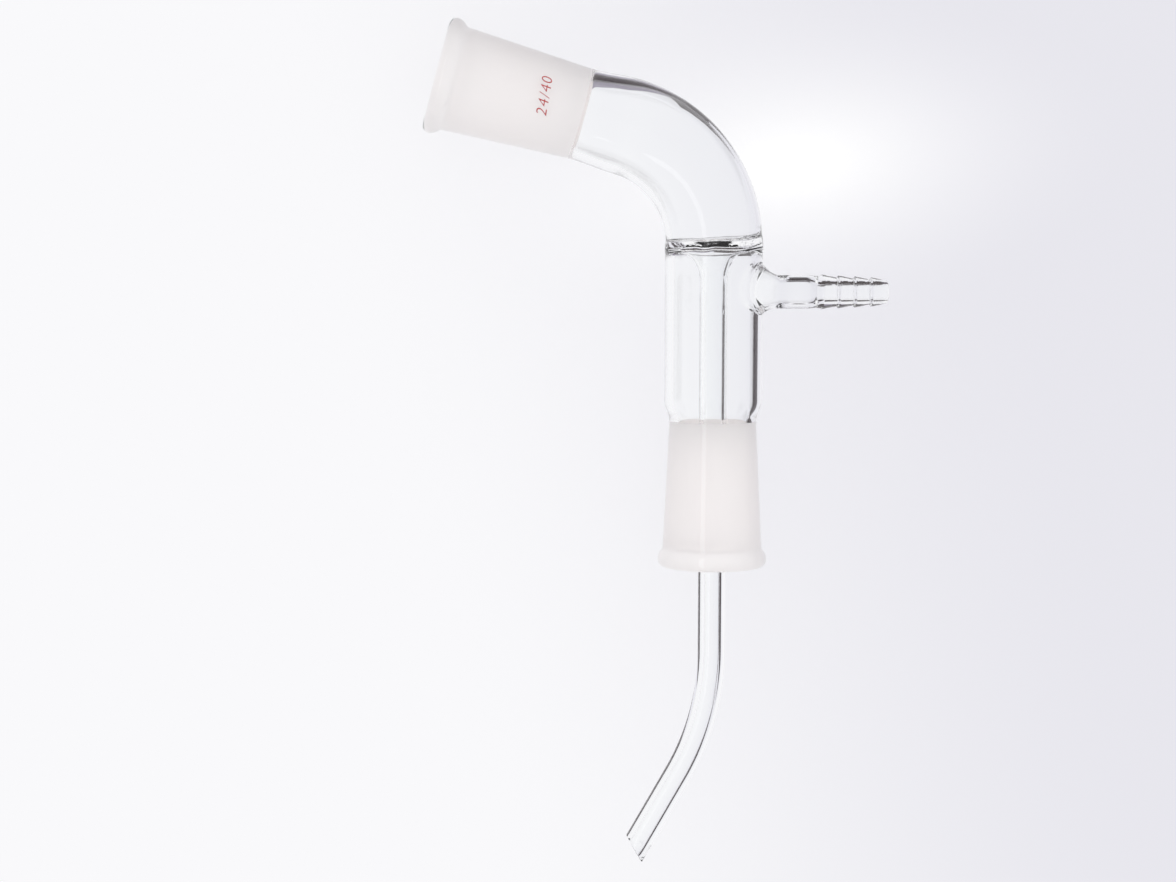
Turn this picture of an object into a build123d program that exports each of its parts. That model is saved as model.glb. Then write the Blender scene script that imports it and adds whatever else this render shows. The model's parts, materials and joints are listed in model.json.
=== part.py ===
"""Vacuum take-off adapter, 105 degrees, with two outer (female) ground sockets.

One piece of flame-worked borosilicate glass. It lies on its side: +Y runs up the
axis of the lower socket and its jacket, +X points along the hose arm, and +Z is
up from the bench. The origin is the centre of the lower socket's mouth.

Two separate passages run through the glass. Vapour enters the upper socket,
turns through the bend and falls through the trumpet into the drip tube. The
vacuum is drawn from the lower socket, up through the jacket and out of the arm.
"""

from build123d import *
from math import cos, radians, sin, sqrt
import os

# Ground joints: a standard 24/40 taper, in a lighter blank below and a heavier one above
JOINT_DIAMETER = 24.0          # ground bore at the mouth
JOINT_TAPER = 0.1              # loss of diameter for each unit of length
GROUND_LENGTH = 41.6           # 40 nominal, and the grinding's run-out
BEAD_LENGTH = 5.4              # the rolled rim, from the face to its groove
BEAD_CREST = 2.2               # from the face to the bead's widest line
FACE_WIDTH = 0.9               # flat ring that is left between the bore and the rounding
LOWER_WALL = 2.45
LOWER_BEAD_DIAMETER = 31.0
UPPER_WALL = 3.05
UPPER_BEAD_DIAMETER = 33.0

# Jacket
JACKET_DIAMETER = 27.6
JACKET_WALL = 2.3
NECK_LENGTH = 6.0              # from the lower socket's blank out to the jacket
SEAL_HEIGHT = 92.0             # where the bend starts, above the lower mouth
SEAL_DIAMETER = 28.3           # slight bulge where the tubes are sealed together
SEAL_LENGTH = 4.0              # length of that bulge, up to the start of the bend
SEAL_FLOOR = 2.15              # from the jacket's closed end to the start of the bend
SHOULDER_RADIUS = 2.2          # inside corner of the jacket's closed end

# Bend and lead to the upper socket
BEND_ANGLE = 75.0
BEND_RADIUS = 34.0
BEND_DIAMETER = 27.4
BEND_WALL = 1.8
LEAD_LENGTH = 13.7
THROAT_DIAMETER = 17.6         # thickened glass just past the upper ground zone
THROAT_OFFSET = 2.6            # from the end of the ground zone to the throat

# Drip tube and its trumpet
DRIP_DIAMETER = 7.9
DRIP_WALL = 1.3
TRUMPET_RADIUS = 5.25          # flare of the outer surface, up to the jacket's closed end
DRIP_DROP = 24.0               # straight run below the lower mouth
DRIP_BEND_RADIUS = 72.0
DRIP_BEND_ANGLE = 30.0
DRIP_TAIL = 24.6               # straight run after the bend, on the axis, to the cut
CUT_ANGLE = 30.0               # slant of the cut off square, with its point on the right

# Side arm and its serrated hose end
ARM_DIAMETER = 9.5
ARM_WALL = 1.4
ARM_ROOT_FILLET = 4.0
ARM_ROOT_CLEARANCE = 0.75      # plain jacket between that fillet and the ring seal's bulge
ARM_ROOT_FLARE = 1.2           # widening of the arm's bore where it opens into the jacket
STEM_END = 27.6                # from the jacket's axis to the collar
COLLAR_LENGTH = 3.4
COLLAR_WAIST = 0.35            # depth of the waist where the hose end is sealed on
BARB_COUNT = 4
BARB_PITCH = 4.7
BARB_CREST_DIAMETER = 9.9      # of the barb nearest to the jacket
BARB_STEP = 0.5                # loss of crest diameter from each barb to the next
BARB_DEPTH = 0.8               # fall of radius along one barb
BARB_RISE = 0.55               # length of the step up to a crest
HOSE_BORE = 4.7
BORE_STEP_LENGTH = 2.4         # where the stem's bore narrows to the hose end's
TIP_ROUND = 0.45

# Small curves are turned as a few straight lines, so that the part packs to few facets
BEAD_CHORD_COUNT = 2           # on each side of the bead's crest
TRUMPET_CHORD_COUNT = 3
NECK_CHORD_COUNT = 3
SMALL_CHORD_COUNT = 2
DRIP_CHORD_COUNT = 5

MARGIN = 1.0                   # how far a cutter runs past the glass
NEAR = 0.05                    # how close two lines must lie to be the same one

# Worked out from the sizes above
ground_end_radius = (JOINT_DIAMETER - JOINT_TAPER * GROUND_LENGTH) / 2
jacket_radius = JACKET_DIAMETER / 2
jacket_bore = jacket_radius - JACKET_WALL
bend_radius_outside = BEND_DIAMETER / 2
bend_bore = bend_radius_outside - BEND_WALL
drip_radius = DRIP_DIAMETER / 2
drip_bore = drip_radius - DRIP_WALL
arm_radius = ARM_DIAMETER / 2
arm_height = SEAL_HEIGHT - SEAL_LENGTH - ARM_ROOT_CLEARANCE - ARM_ROOT_FILLET - arm_radius
arm_bore = arm_radius - ARM_WALL
closed_end = SEAL_HEIGHT - SEAL_FLOOR
trumpet_center = (drip_radius + TRUMPET_RADIUS, closed_end - TRUMPET_RADIUS)
barbs_start = STEM_END + COLLAR_LENGTH
arm_length = barbs_start + BARB_COUNT * BARB_PITCH

bend_center = Vector(-BEND_RADIUS, SEAL_HEIGHT, 0)
turn = radians(BEND_ANGLE)
bend_end = bend_center + Vector(BEND_RADIUS * cos(turn), BEND_RADIUS * sin(turn), 0)
upper_axis = Vector(-sin(turn), cos(turn), 0)
upper_mouth = bend_end + upper_axis * (LEAD_LENGTH + GROUND_LENGTH)
upper_plane = Plane(
    origin=upper_mouth,
    x_dir=Vector(-cos(turn), -sin(turn), 0),
    z_dir=(0, 0, 1),
)

drip_turn = radians(DRIP_BEND_ANGLE)
drip_bend_center = Vector(-DRIP_BEND_RADIUS, -DRIP_DROP, 0)
drip_bend_end = drip_bend_center + Vector(
    DRIP_BEND_RADIUS * cos(drip_turn), -DRIP_BEND_RADIUS * sin(drip_turn), 0
)
drip_axis = Vector(-sin(drip_turn), -cos(drip_turn), 0)
drip_tip = drip_bend_end + drip_axis * DRIP_TAIL


def turned(edges, plane=Plane.XY, about="Y"):
    """A solid of revolution from the edges of half its section."""
    face = make_face(edges)
    axis = Axis.Y if about == "Y" else Axis.X
    return plane.location * revolve(face, axis=axis)


def chords(curve, count):
    """The curve as a few straight lines."""
    stops = [curve @ (step / count) for step in range(count + 1)]
    return [Line(start, end) for start, end in zip(stops, stops[1:])]


def neck(start, end):
    """A smooth step from the end of a tapered socket to a straight tube."""
    return chords(Spline(start, end, tangents=[(-JOINT_TAPER / 2, 1), (0, 1)]), NECK_CHORD_COUNT)


def socket_skin(wall, bead_diameter):
    """Outside of a socket's section, from the axis at the mouth to the end of the ground zone."""
    mouth = JOINT_DIAMETER / 2
    groove = mouth - JOINT_TAPER * BEAD_LENGTH / 2 + wall
    face_edge = (mouth + FACE_WIDTH, 0)
    crest = (bead_diameter / 2, BEAD_CREST)
    small_end = (ground_end_radius + wall, GROUND_LENGTH)
    edges = [Line((0, 0), face_edge)]
    edges += chords(Spline(face_edge, crest, tangents=[(1, 0.1), (0, 1)]), BEAD_CHORD_COUNT)
    edges += chords(Spline(crest, (groove, BEAD_LENGTH), tangents=[(0, 1), (-0.35, 1)]), BEAD_CHORD_COUNT)
    edges.append(Line((groove, BEAD_LENGTH), small_end))
    return edges, small_end


def lower_body():
    """The lower socket, the jacket and the ring seal as one filled turning."""
    edges, small_end = socket_skin(LOWER_WALL, LOWER_BEAD_DIAMETER)
    neck_end = (jacket_radius, GROUND_LENGTH + NECK_LENGTH)
    seal_start = (jacket_radius, SEAL_HEIGHT - SEAL_LENGTH)
    seal_crest = (SEAL_DIAMETER / 2, SEAL_HEIGHT - SEAL_LENGTH / 2)
    seal_end = (bend_radius_outside, SEAL_HEIGHT)
    edges += neck(small_end, neck_end)
    edges += [
        Line(neck_end, seal_start),
        ThreePointArc(seal_start, seal_crest, seal_end),
        Line(seal_end, (0, seal_end[1])),
        Line((0, seal_end[1]), (0, 0)),
    ]
    return turned(edges)


def upper_body():
    """The upper socket and the lead that runs from it to the bend, filled."""
    edges, small_end = socket_skin(UPPER_WALL, UPPER_BEAD_DIAMETER)
    lead_end = (bend_radius_outside, GROUND_LENGTH + LEAD_LENGTH)
    edges += [
        Line(small_end, lead_end),
        Line(lead_end, (0, lead_end[1])),
        Line((0, lead_end[1]), (0, 0)),
    ]
    return turned(edges, upper_plane)


def bent_rod(radius):
    """The filled quarter between the ring seal and the lead."""
    start = Plane(origin=(0, SEAL_HEIGHT, 0), x_dir=(1, 0, 0), z_dir=(0, 1, 0))
    axis = Axis(tuple(bend_center), (0, 0, 1))
    return revolve(start * Circle(radius), axis=axis, revolution_arc=BEND_ANGLE)


def drip_rod(radius, run_past):
    """The drip tube below the lower mouth as a filled rod, past its cut by run_past."""
    level = Plane(origin=(0, 0, 0), x_dir=(1, 0, 0), z_dir=(0, -1, 0))
    stops = [Vector(0, 0, 0)]
    for step in range(DRIP_CHORD_COUNT + 1):
        turned_by = drip_turn * step / DRIP_CHORD_COUNT
        along = Vector(cos(turned_by), -sin(turned_by), 0)
        stops.append(drip_bend_center + along * DRIP_BEND_RADIUS)
    stops.append(drip_tip + drip_axis * run_past)
    return sweep(level * Circle(radius), path=Polyline(*stops), transition=Transition.RIGHT)


def drip_cutter():
    """Everything past the slanted cut at the drip tip."""
    slant = drip_turn + radians(CUT_ANGLE)
    normal = Vector(-sin(slant), -cos(slant), 0)
    size = 8 * DRIP_DIAMETER
    return extrude(Plane(origin=drip_tip, z_dir=normal) * Rectangle(size, size), size)


def arm_skin():
    """The side arm beyond the jacket: stem, sealed collar and the serrated hose end, filled."""
    waist = (STEM_END + COLLAR_LENGTH / 2, arm_radius - COLLAR_WAIST)
    stem_end = (STEM_END, arm_radius)
    last = (barbs_start - BARB_RISE, arm_radius - COLLAR_WAIST / 2)
    edges = [
        Line((0, 0), (0, arm_radius)),
        Line((0, arm_radius), stem_end),
        Line(stem_end, waist),
        Line(waist, last),
    ]
    for number in range(BARB_COUNT):
        crest_radius = (BARB_CREST_DIAMETER - number * BARB_STEP) / 2
        crest = (barbs_start + number * BARB_PITCH, crest_radius)
        valley = (crest[0] + BARB_PITCH - BARB_RISE, crest_radius - BARB_DEPTH)
        edges += [Line(last, crest), Line(crest, valley)]
        last = valley
    tip = (arm_length, last[1] - TIP_ROUND)
    edges += [
        Line(last, tip),
        Line(tip, (arm_length, 0)),
        Line((arm_length, 0), (0, 0)),
    ]
    return turned(edges, Plane(origin=(0, arm_height, 0)), about="X")


def arm_hollow():
    """The vacuum's way out of the jacket, flared at its root and narrow in the hose end."""
    root = sqrt(jacket_bore ** 2 - arm_bore ** 2) - MARGIN
    flare_end = jacket_radius + ARM_ROOT_FLARE
    step_end = STEM_END + BORE_STEP_LENGTH
    hose_bore = HOSE_BORE / 2
    flare_start = (root, arm_bore + ARM_ROOT_FLARE)
    step = Spline((STEM_END, arm_bore), (step_end, hose_bore), tangents=[(1, 0), (1, 0)])
    edges = [Line((root, 0), flare_start)]
    edges.append(Line(flare_start, (flare_end, arm_bore)))
    edges.append(Line((flare_end, arm_bore), (STEM_END, arm_bore)))
    edges += chords(step, SMALL_CHORD_COUNT)
    edges += [
        Line((step_end, hose_bore), (arm_length + MARGIN, hose_bore)),
        Line((arm_length + MARGIN, hose_bore), (arm_length + MARGIN, 0)),
        Line((arm_length + MARGIN, 0), (root, 0)),
    ]
    return turned(edges, Plane(origin=(0, arm_height, 0)), about="X")


def jacket_hollow():
    """The vacuum space: lower ground bore, neck and jacket, round the drip tube and trumpet."""
    mouth = JOINT_DIAMETER / 2 + JOINT_TAPER * MARGIN / 2
    ground_end = (ground_end_radius, GROUND_LENGTH)
    neck_end = (jacket_bore, GROUND_LENGTH + NECK_LENGTH)
    shoulder_start = (jacket_bore, closed_end - SHOULDER_RADIUS)
    shoulder_end = (jacket_bore - SHOULDER_RADIUS, closed_end)
    trumpet_top = (trumpet_center[0], closed_end)
    trumpet_foot = (drip_radius, trumpet_center[1])
    edges = [
        Line((drip_radius, -MARGIN), (mouth, -MARGIN)),
        Line((mouth, -MARGIN), ground_end),
    ]
    edges += neck(ground_end, neck_end)
    edges.append(Line(neck_end, shoulder_start))
    edges += chords(RadiusArc(shoulder_start, shoulder_end, -SHOULDER_RADIUS), SMALL_CHORD_COUNT)
    if shoulder_end[0] - trumpet_top[0] > NEAR:
        edges.append(Line(shoulder_end, trumpet_top))
    edges += chords(RadiusArc(trumpet_top, trumpet_foot, -TRUMPET_RADIUS), TRUMPET_CHORD_COUNT)
    edges.append(Line(trumpet_foot, (drip_radius, -MARGIN)))
    return turned(edges)


def trumpet_hollow():
    """The funnel from the foot of the bend down into the drip tube's bore."""
    flare = TRUMPET_RADIUS + DRIP_WALL
    foot = (drip_bore, trumpet_center[1])
    top = (trumpet_center[0], trumpet_center[1] + flare)
    rim = (bend_bore, SEAL_HEIGHT)
    edges = [
        Line((0, 0), (drip_bore, 0)),
        Line((drip_bore, 0), foot),
    ]
    edges += chords(RadiusArc(foot, top, flare), TRUMPET_CHORD_COUNT)
    edges += [
        Line(top, rim),
        Line(rim, (0, SEAL_HEIGHT)),
        Line((0, SEAL_HEIGHT), (0, 0)),
    ]
    return turned(edges)


def upper_hollow():
    """The upper ground bore, the thickened throat and the widening lead."""
    mouth = JOINT_DIAMETER / 2 + JOINT_TAPER * MARGIN / 2
    ground_end = (ground_end_radius, GROUND_LENGTH)
    throat = (THROAT_DIAMETER / 2, GROUND_LENGTH + THROAT_OFFSET)
    lead_end = (bend_bore, GROUND_LENGTH + LEAD_LENGTH)
    lead = Spline(throat, lead_end, tangents=[(0, 1), (0, 1)])
    edges = [
        Line((0, -MARGIN), (mouth, -MARGIN)),
        Line((mouth, -MARGIN), ground_end),
        Line(ground_end, throat),
    ]
    edges += chords(lead, NECK_CHORD_COUNT)
    edges += [
        Line(lead_end, (0, lead_end[1])),
        Line((0, lead_end[1]), (0, -MARGIN)),
    ]
    return turned(edges, upper_plane)


def with_arm_root(body):
    """Blends the arm's stem into the jacket."""
    def on_both(edge):
        middle = edge @ 0.5
        from_arm = sqrt((middle.Y - arm_height) ** 2 + middle.Z ** 2)
        from_jacket = sqrt(middle.X ** 2 + middle.Z ** 2)
        return abs(from_arm - arm_radius) < NEAR and abs(from_jacket - jacket_radius) < NEAR

    root = [edge for edge in body.edges() if on_both(edge)]
    return fillet(root, ARM_ROOT_FILLET)


skin = with_arm_root(lower_body() + arm_skin())
skin = skin + bent_rod(bend_radius_outside) + upper_body() + drip_rod(drip_radius, DRIP_DIAMETER)
glass = skin - jacket_hollow() - arm_hollow()
glass = glass - trumpet_hollow() - bent_rod(bend_bore) - upper_hollow()
glass = glass - drip_rod(drip_bore, 2 * DRIP_DIAMETER) - drip_cutter()

os.makedirs("parts", exist_ok=True)
export_step(glass.solid(), "parts/glass_adapter.step")
print("solids", len(glass.solids()), "volume", round(glass.volume, 1))
box = glass.bounding_box()
print("box", box.min, box.max)
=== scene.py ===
# %% [markdown]
# # A blown glass take-off adapter
# The object is one piece of laboratory glass, shaped by hand from tubes: two ground sockets, a
# bend, a jacket with a hose arm, and a drip tube that is sealed in at the top of the jacket.
# Its solid comes ready made, as the frame. This lesson gives it the look of real glass. Glass
# shows nothing but what it bends light towards, so the shape of both its walls matters as much
# as its material, and so does what stands around it.

# %% Load the frame
import json
from math import cos, pi, radians, sin

import bmesh
import bpy
import numpy as np
from mathutils import Matrix, Vector

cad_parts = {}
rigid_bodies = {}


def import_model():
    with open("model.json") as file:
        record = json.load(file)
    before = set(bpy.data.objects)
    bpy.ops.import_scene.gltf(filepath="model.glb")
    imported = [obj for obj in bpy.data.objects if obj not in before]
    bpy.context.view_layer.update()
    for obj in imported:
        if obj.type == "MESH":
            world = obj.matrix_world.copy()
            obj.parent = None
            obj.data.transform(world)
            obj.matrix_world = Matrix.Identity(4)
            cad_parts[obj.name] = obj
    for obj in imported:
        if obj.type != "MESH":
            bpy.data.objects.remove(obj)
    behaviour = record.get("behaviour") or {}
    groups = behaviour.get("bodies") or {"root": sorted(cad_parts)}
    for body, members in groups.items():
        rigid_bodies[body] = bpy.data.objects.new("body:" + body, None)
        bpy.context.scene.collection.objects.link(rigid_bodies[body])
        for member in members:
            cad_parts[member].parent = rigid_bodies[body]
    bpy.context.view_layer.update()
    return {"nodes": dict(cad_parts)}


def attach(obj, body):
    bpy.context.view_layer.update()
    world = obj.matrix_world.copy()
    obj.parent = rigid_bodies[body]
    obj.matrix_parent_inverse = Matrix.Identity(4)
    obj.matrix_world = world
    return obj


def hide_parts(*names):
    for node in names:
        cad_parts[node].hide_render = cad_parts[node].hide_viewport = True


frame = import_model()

print("nodes in the frame:", list(frame["nodes"]))

# %% [markdown]
# ## The camera
# A photograph fixes the camera as firmly as the object. In this one the upper socket's mouth is
# seen exactly edge-on, and the lower one a few degrees from above. Only one place for the camera
# fits both, about 0.7 metre over the adapter, with a fairly long lens. The view is set by its
# three directions, right, up and back, as the columns of a matrix.

# %% Camera
MM = 0.001
PHOTO_WIDTH = 1176
FOCAL_PIXELS = 2500
SENSOR_WIDTH = 36

right = Vector((0.996931, 0.003487, 0.078204))
up = Vector((0.002243, 0.997325, -0.073062))
back = right.cross(up)
eye = Vector((-91.05, 87.88, 704.81)) * MM

camera_data = bpy.data.cameras.new("camera")
camera_data.sensor_width = SENSOR_WIDTH
camera_data.lens = SENSOR_WIDTH * FOCAL_PIXELS / PHOTO_WIDTH
camera_data.clip_start = 0.01
camera_data.clip_end = 20
camera = bpy.data.objects.new("camera", camera_data)
camera.matrix_world = Matrix.Translation(eye) @ Matrix((right, up, back)).transposed().to_4x4()
bpy.context.collection.objects.link(camera)
bpy.context.scene.camera = camera
print("lens", round(camera_data.lens, 2), "mm, eye", [round(value, 4) for value in eye])

# %% [markdown]
# ## The section
# A glassblower works on a lathe, so nearly every form here is a turned one. All the walls,
# outside and in, make one closed line when the adapter is cut down its middle and pulled
# straight: down the outside, round the lower rim, up the vacuum space, down the drip tube, up
# its bore and out through the upper socket. Each point of the line has a radius and a station,
# which is how far along the tube it lies. The numbers are millimetres, as on a drawing.

# %% Lengths and bends of the tubes
GROUND_LENGTH = 41.6
SEAL_STATION = 92.0
BEND_RADIUS = 34.0
BEND_ANGLE = radians(75)
LEAD_LENGTH = 13.7
DRIP_DROP = 24.0
DRIP_BEND_RADIUS = 72.0
DRIP_BEND_ANGLE = radians(30)
DRIP_TAIL = 24.6

bend_end = SEAL_STATION + BEND_RADIUS * BEND_ANGLE
upper_mouth = bend_end + LEAD_LENGTH + GROUND_LENGTH
drip_end = -DRIP_DROP - DRIP_BEND_RADIUS * DRIP_BEND_ANGLE - DRIP_TAIL
print("stations: upper mouth", round(upper_mouth, 1), "drip tip", round(drip_end, 1))

# %% [markdown]
# ## Runs from point to point
# Hot glass has no corners, so two points of the section are joined by a smooth run. It leaves
# the first point in one direction and arrives at the second in another, and the pull says how
# far it follows them before it turns. A direction is written like a point, as radius and
# station, so OUT leads away from the axis and DOWN towards the drip tip.


# %% A smooth run between two points of the section
def smooth_way(start, end, leave, arrive, t):
    """The place at share t of a curve from start to end. leave and arrive are its pulls there."""
    place = (2 * t**3 - 3 * t**2 + 1) * start + (t**3 - 2 * t**2 + t) * leave
    return place + (3 * t**2 - 2 * t**3) * end + (t**3 - t**2) * arrive


def run(start, end, count, leave=None, arrive=None, pull=1.0):
    """A row of points from start up to end, straight where no direction is given."""
    start, end = np.array(start, float), np.array(end, float)
    reach = np.linalg.norm(end - start) * pull

    def way(direction):
        if direction is None:
            return end - start
        return np.array(direction, float) / np.linalg.norm(direction) * reach

    t = np.linspace(0, 1, count, endpoint=False)[:, None]
    return smooth_way(start, end, way(leave), way(arrive), t)


OUT, IN, UP, DOWN = (1, 0), (-1, 0), (0, 1), (0, -1)

# %% [markdown]
# ## What is special about a wall
# Besides its place, each point carries five values of its wall: whether it is ground, whether it
# is part of the barbs, how far its row is shifted sideways, how far the wall may swell there,
# and how far it follows the sag of the ring seal. Nearly everywhere they are nought.

# %% The section as a growing list
WALL_VALUES = ("ground", "barbed", "shift", "lumps", "sag")
section = []


def add(points, **values):
    """Puts points on the section, each with what is special about its wall."""
    for index, (radius, station) in enumerate(points):
        special = [values.get(name, 0.0) for name in WALL_VALUES]
        section.append((radius, station, *(v[index] if np.ndim(v) else v for v in special)))


def fade(points, first, last):
    """One value for each point, from first to last in even steps."""
    return np.linspace(first, last, len(points))


# %% [markdown]
# ## Two sockets, outside
# A ground socket starts as a thick tube. Its rim is rolled over into a bead with a flat face,
# which keeps it from chipping, and behind the bead is a shallow groove. From there the blank
# narrows with the taper of the joint, 1 in 10 on the diameter. Both sockets have the same bore,
# but the upper one is made from a heavier blank. Five points give the form of either.

# %% Points of a socket
JOINT_RADIUS = 12.0
TAPER = 0.05
GROUND_END_RADIUS = JOINT_RADIUS - TAPER * GROUND_LENGTH
BEAD_LENGTH = 5.4
BEAD_CREST = 2.3
FACE_RADIUS = 12.95
FACE_DROP = 0.02
LIP_WIDTH = 0.25
UPPER_BEAD, UPPER_GROOVE, UPPER_BLANK_END = 16.5, 14.78, 12.97
LOWER_BEAD, LOWER_GROOVE, LOWER_BLANK_END = 15.5, 14.18, 12.37


def mouth(distance):
    """The station that lies this far inside the upper mouth."""
    return upper_mouth - distance


def lower_mouth(distance):
    """The same for the lower mouth, where the stations start."""
    return distance


def socket_points(bead, groove, blank_end, station):
    """Lip, face edge, crest, groove and end of a blank. station places a distance from its mouth."""
    radii = (JOINT_RADIUS + LIP_WIDTH, FACE_RADIUS, bead, groove, blank_end)
    distances = (0.0, FACE_DROP, BEAD_CREST, BEAD_LENGTH, GROUND_LENGTH)
    return [(radius, station(distance)) for radius, distance in zip(radii, distances)]


upper_lip, upper_face, upper_crest, upper_groove, upper_blank = socket_points(
    UPPER_BEAD, UPPER_GROOVE, UPPER_BLANK_END, mouth
)
lower_lip, lower_face, lower_crest, lower_groove, lower_blank = socket_points(
    LOWER_BEAD, LOWER_GROOVE, LOWER_BLANK_END, lower_mouth
)
print("wall of the blanks at the small end:",
      round(UPPER_BLANK_END - GROUND_END_RADIUS, 2), round(LOWER_BLANK_END - GROUND_END_RADIUS, 2))

# %% Outside of the upper socket and the bend
FACE_PULL = 1.35
GROOVE_PULL = 1.1
BEND_OUTSIDE = 13.7
SEAL_TOP = 4.5

add(run(upper_lip, upper_face, 3))
add(run(upper_face, upper_crest, 12, OUT, DOWN, FACE_PULL))
add(run(upper_crest, upper_groove, 12, DOWN, (-0.9, -1), GROOVE_PULL))
add(run(upper_groove, upper_blank, 10))
add(run(upper_blank, (BEND_OUTSIDE, bend_end), 12, (-TAPER, -1), DOWN))
add(run((BEND_OUTSIDE, bend_end), (BEND_OUTSIDE, SEAL_STATION + SEAL_TOP), 34))
print("points so far:", len(section))

# %% [markdown]
# ## The ring seal
# This is the glassblower's masterpiece. The bend, the jacket and the drip tube are melted
# together in one ring, and all of it is done in the flame, by eye. So the ring isn't quite round
# and doesn't lie quite level. Two values of the section say so. The lumps are how far the wall
# may swell or sink there, and the sag is how much of the ring's uneven height a point follows.
# Both fade out above and below. They matter, because each little slope sends the eye to another
# part of the room, and that is what draws the dark strokes of the seal.

# %% Outside of the ring seal
SEAL_LUMPS = 0.15
JACKET_RADIUS = 13.8
seal_waist = (13.6, SEAL_STATION + 1.9)
seal_bulge = (13.95, SEAL_STATION - 1.2)
OUTER_WINDOW = (69.0, 88.6)

seal_top = run((BEND_OUTSIDE, SEAL_STATION + SEAL_TOP), seal_waist, 8, DOWN, DOWN)
add(seal_top, lumps=fade(seal_top, 0.02, SEAL_LUMPS), sag=fade(seal_top, 0.0, 0.8))
add(run(seal_waist, seal_bulge, 10, DOWN, DOWN), lumps=SEAL_LUMPS, sag=0.9)
seal_foot = run(seal_bulge, (JACKET_RADIUS, OUTER_WINDOW[1]), 8, DOWN, DOWN)
add(seal_foot, lumps=fade(seal_foot, SEAL_LUMPS, 0.0), sag=fade(seal_foot, 0.8, 0.0))
print("points so far:", len(section))

# %% [markdown]
# ## The jacket
# The jacket is a plain tube. A stretch of it, outside and in, is laid out in rows of even
# height, because a window for the hose arm's root is cut there later. Its lower end is drawn in
# to the lower socket, whose outside follows in the opposite order to the upper one.

# %% Outside of the jacket and the lower socket
WINDOW_ROWS = 28
NECK_END = 47.6
BORE_RIM = (JOINT_RADIUS - 0.01, 0.3)

add(run((JACKET_RADIUS, OUTER_WINDOW[1]), (JACKET_RADIUS, OUTER_WINDOW[0]), WINDOW_ROWS))
add(run((JACKET_RADIUS, OUTER_WINDOW[0]), (JACKET_RADIUS, NECK_END), 8))
add(run((JACKET_RADIUS, NECK_END), lower_blank, 12, DOWN, (TAPER, -1)))
add(run(lower_blank, lower_groove, 10))
add(run(lower_groove, lower_crest, 12, (0.9, -1), DOWN, GROOVE_PULL))
add(run(lower_crest, lower_face, 12, DOWN, IN, FACE_PULL))
add(run(lower_face, lower_lip, 3))
add(run(lower_lip, BORE_RIM, 4, IN, UP))
print("points so far:", len(section))

# %% [markdown]
# ## The vacuum space
# Inside, the line runs up the ground bore of the lower socket and the bore of the jacket, round
# the shoulder under the seal, and down the outside of the trumpet, by which the drip tube hangs.

# %% Ground bore, jacket bore and the outside of the trumpet
JACKET_BORE = 11.5
INNER_WINDOW = (69.6, 87.4)
DRIP_RADIUS = 3.95
TRUMPET_FOOT = 82.2
WEB_LUMPS = 0.2
trumpet_top = (9.4, 91.0)

add(run(BORE_RIM, (GROUND_END_RADIUS, GROUND_LENGTH), 14), ground=1.0)
add(run((GROUND_END_RADIUS, GROUND_LENGTH), (JACKET_BORE, NECK_END), 12, (-TAPER, 1), UP))
add(run((JACKET_BORE, NECK_END), (JACKET_BORE, INNER_WINDOW[0]), 8))
add(run((JACKET_BORE, INNER_WINDOW[0]), (JACKET_BORE, INNER_WINDOW[1]), WINDOW_ROWS))
shoulder = run((JACKET_BORE, INNER_WINDOW[1]), trumpet_top, 12, UP, (-1, 0.1), 1.3)
add(shoulder, lumps=fade(shoulder, 0.0, WEB_LUMPS), sag=fade(shoulder, 0.0, 1.0))
trumpet = run(trumpet_top, (DRIP_RADIUS, TRUMPET_FOOT), 20, (-1, -0.1), DOWN, 0.75)
add(trumpet, lumps=fade(trumpet, WEB_LUMPS, 0.0), sag=fade(trumpet, 1.0, 0.0))
print("points so far:", len(section))

# %% [markdown]
# ## The drip tube
# The tube is 8 mm glass. Work in the flame thickens the wall of its lower end, so the bore is a
# little narrower below the socket than it is higher up, and a smooth run joins the two.

# %% The drip tube, down its outside and up its bore
DRIP_BORE = 2.65
LOWER_DRIP_BORE = 2.2
TIP_ROUND = 0.22
NARROW_UP_TO, WIDE_FROM = 4.0, 36.0
FUNNEL_FOOT = 82.6
drip_bend_end = drip_end + DRIP_TAIL
rounded_end = drip_end + TIP_ROUND

for start, end, count in (
    (TRUMPET_FOOT, -DRIP_DROP, 10), (-DRIP_DROP, drip_bend_end, 30), (drip_bend_end, rounded_end, 10),
):
    add(run((DRIP_RADIUS, start), (DRIP_RADIUS, end), count))
add(run((DRIP_RADIUS, rounded_end), (DRIP_RADIUS - TIP_ROUND, drip_end), 4, DOWN, IN))
add(run((DRIP_RADIUS - TIP_ROUND, drip_end), (LOWER_DRIP_BORE + TIP_ROUND, drip_end), 2))
add(run((LOWER_DRIP_BORE + TIP_ROUND, drip_end), (LOWER_DRIP_BORE, rounded_end), 4, IN, UP))
for start, end, count in (
    (rounded_end, drip_bend_end, 10), (drip_bend_end, -DRIP_DROP, 30), (-DRIP_DROP, NARROW_UP_TO, 8),
):
    add(run((LOWER_DRIP_BORE, start), (LOWER_DRIP_BORE, end), count))
add(run((LOWER_DRIP_BORE, NARROW_UP_TO), (DRIP_BORE, WIDE_FROM), 12, UP, UP))
add(run((DRIP_BORE, WIDE_FROM), (DRIP_BORE, FUNNEL_FOOT), 8))
print("points so far:", len(section))

# %% [markdown]
# ## Funnel, bend and upper socket, inside
# The wall of a bend isn't even: glass on its outside is stretched thin, and glass on its inside
# is gathered thick. So the bore is shifted outwards there, most in the middle of the bend. This
# gives the bend its dark, drawn-out shapes.


# %% How far the bore is shifted
BORE_SHIFT = 0.35


def bell(station, low, high):
    """0 outside low and high, and a smooth swell to 1 between them."""
    place = np.clip((np.asarray(station) - low) / (high - low), 0, 1)
    return np.sin(place * pi) ** 2


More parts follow.
